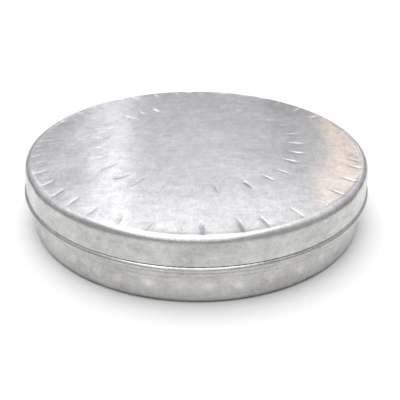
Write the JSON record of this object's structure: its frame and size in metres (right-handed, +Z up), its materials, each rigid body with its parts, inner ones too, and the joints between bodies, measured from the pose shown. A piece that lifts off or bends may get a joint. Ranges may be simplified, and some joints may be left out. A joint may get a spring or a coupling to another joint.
{
  "type": "candle tin",
  "caption": "Shallow round seamless metal tin with a domed slip lid that lifts off and rests on a rolled bead; the lid's top carries rings of small pressed-in dents.",
  "frame": {"origin": "centre of the circle that the tin stands on, in the plane of the standing ring", "axes": "+Z up through the lid, along the axis of revolution; X and Y lie in the plane the tin stands on"},
  "size_m": [0.1022, 0.1022, 0.0214],
  "materials": {
    "base_metal": "drawn sheet, satin with fine draw lines round the wall",
    "lid_metal": "drawn sheet, cloudy and finely scratched, with pressed-in dents"
  },
  "bodies": {
    "base": {"tin_base": "base_metal"},
    "lid": {"slip_lid": "lid_metal"}
  },
  "joints": [
    {"name": "lid_lift", "type": "slide", "parent": "base", "child": "lid", "axis": [0, 0, 1], "range_m": [0, 0.06]}
  ]
}
